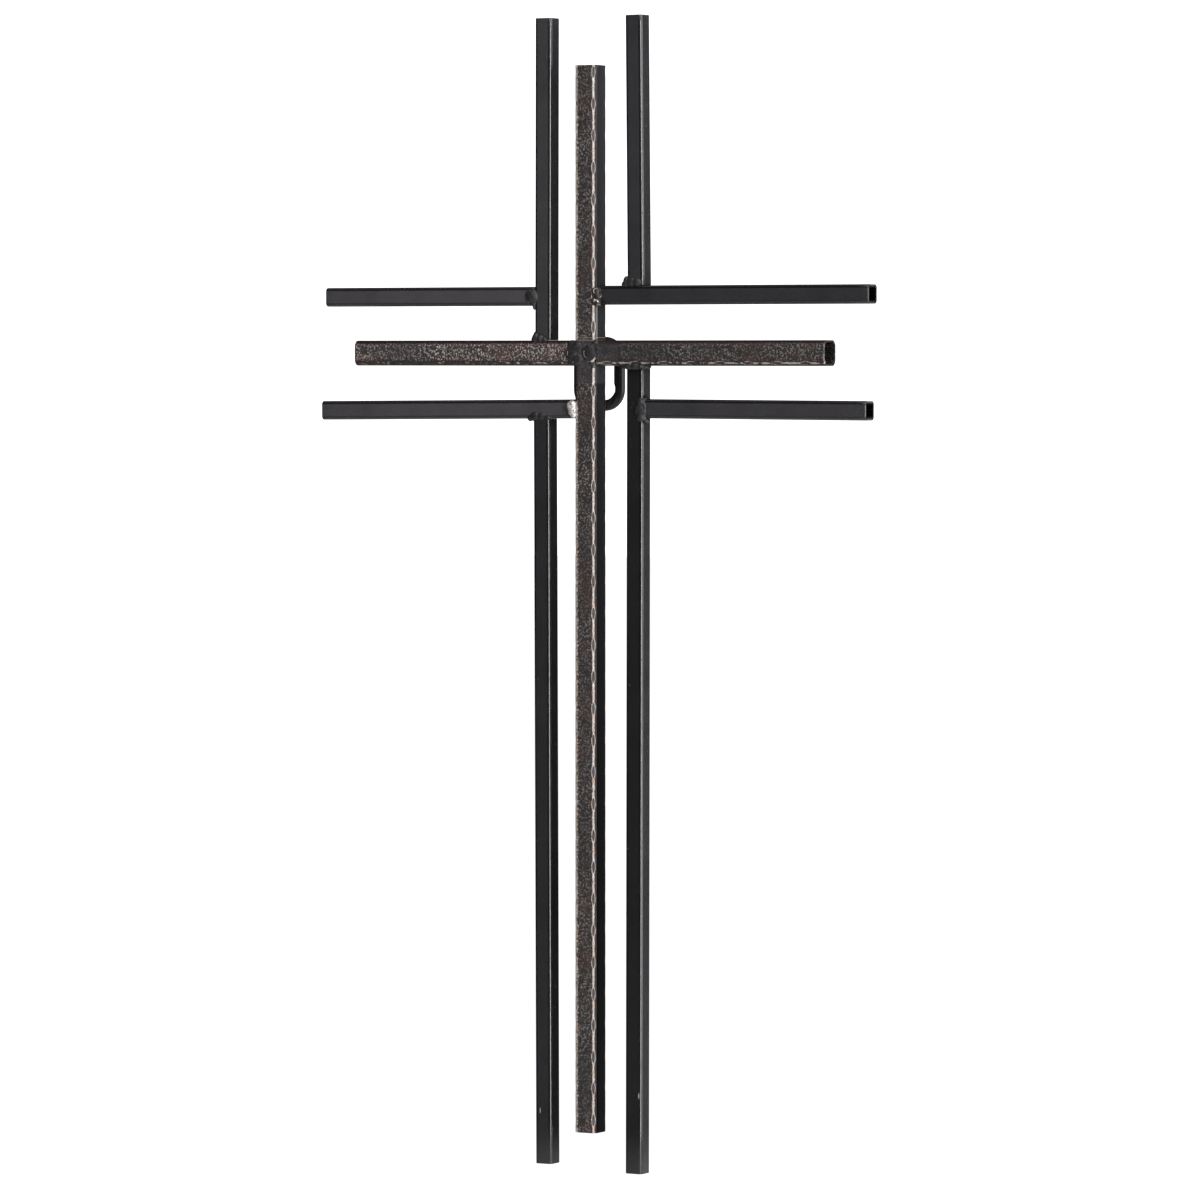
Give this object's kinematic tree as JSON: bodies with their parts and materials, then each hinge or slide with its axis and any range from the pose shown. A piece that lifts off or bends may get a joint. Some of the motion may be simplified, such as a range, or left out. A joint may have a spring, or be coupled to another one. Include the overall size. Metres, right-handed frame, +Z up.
{
  "type": "wrought iron wall cross",
  "caption": "Tall latin wall cross welded from hammered and smooth square steel tube, with thinner tubes pinwheeled round the crossing and an oval hanging ring at the back.",
  "frame": {"origin": "highest point of the inside of the hanging ring, on the middle plane of its rod, where the cross bears on its hook", "axes": "+X to the right seen from the front, +Y towards the wall behind, +Z up along the post; the hammered fronts face -Y"},
  "size_m": [0.393, 0.0243, 0.7249],
  "materials": {
    "hammered_tube": "hammered tube under satin black paint rubbed back to copper on the high spots",
    "smooth_tube": "smooth tube under satin black paint",
    "ring_rod": "bent round rod under satin black paint",
    "weld_bead": "rough weld bead under black paint, bright where it is rubbed"
  },
  "bodies": {
    "root": {"center_post": "hammered_tube", "left_arm": "hammered_tube", "right_arm": "hammered_tube", "upper_left_post": "smooth_tube", "upper_left_bar": "smooth_tube", "upper_right_bar": "smooth_tube", "upper_right_post": "smooth_tube", "lower_right_post": "smooth_tube", "lower_right_bar": "smooth_tube", "lower_left_bar": "smooth_tube", "lower_left_post": "smooth_tube", "hanging_ring": "ring_rod", "weld_crossing_left": "weld_bead", "weld_crossing_right": "weld_bead", "weld_upper_left_foot": "weld_bead", "weld_upper_left_bar": "weld_bead", "weld_upper_right_bar": "weld_bead", "weld_upper_right_foot": "weld_bead", "weld_lower_right_top": "weld_bead", "weld_lower_right_bar": "weld_bead", "weld_lower_left_bar": "weld_bead", "weld_lower_left_top": "weld_bead", "weld_ring_left": "weld_bead", "weld_ring_right": "weld_bead"}
  },
  "joints": []
}
